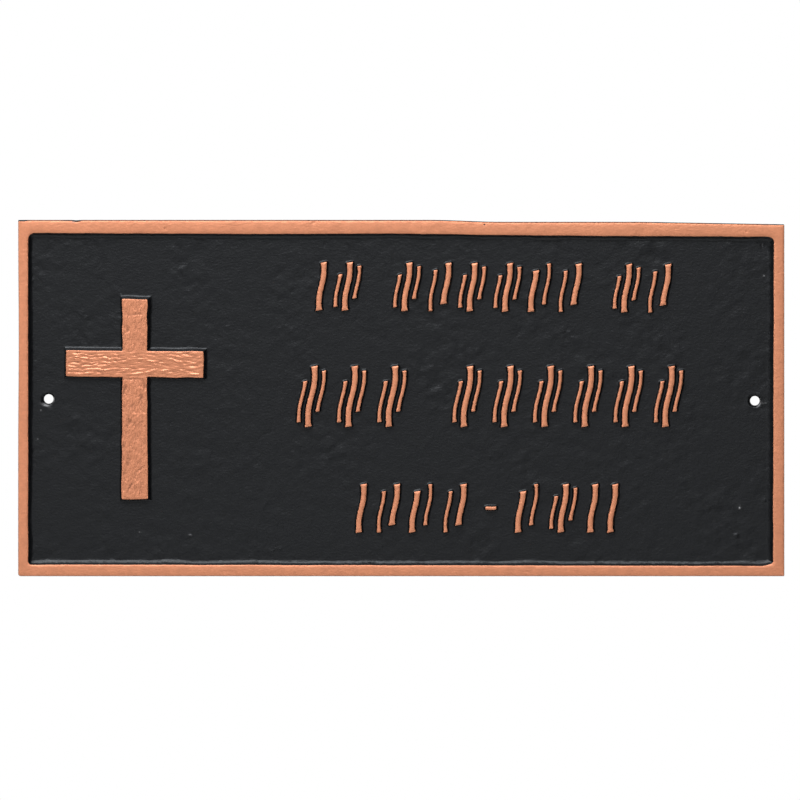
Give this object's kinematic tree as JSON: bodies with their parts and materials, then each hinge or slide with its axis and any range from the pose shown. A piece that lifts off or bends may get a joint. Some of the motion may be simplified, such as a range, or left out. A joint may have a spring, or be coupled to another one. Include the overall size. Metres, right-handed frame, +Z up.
{
  "type": "commemorative plaque",
  "caption": "Rectangular cast wall plaque with a raised rim, a raised cross at the left, rows of raised strokes in place of an inscription, and screw holes at both ends.",
  "frame": {"origin": "middle of the flat back that lies against the wall", "axes": "+X along the plaque's length, to the right as seen from its face; +Y out of the back, into the wall; +Z up"},
  "size_m": [0.4, 0.008, 0.186],
  "materials": {
    "painted_casting": "satin black paint over cast aluminium, with copper paint on the raised faces"
  },
  "bodies": {
    "root": {"memorial_plaque": "painted_casting"}
  },
  "joints": []
}
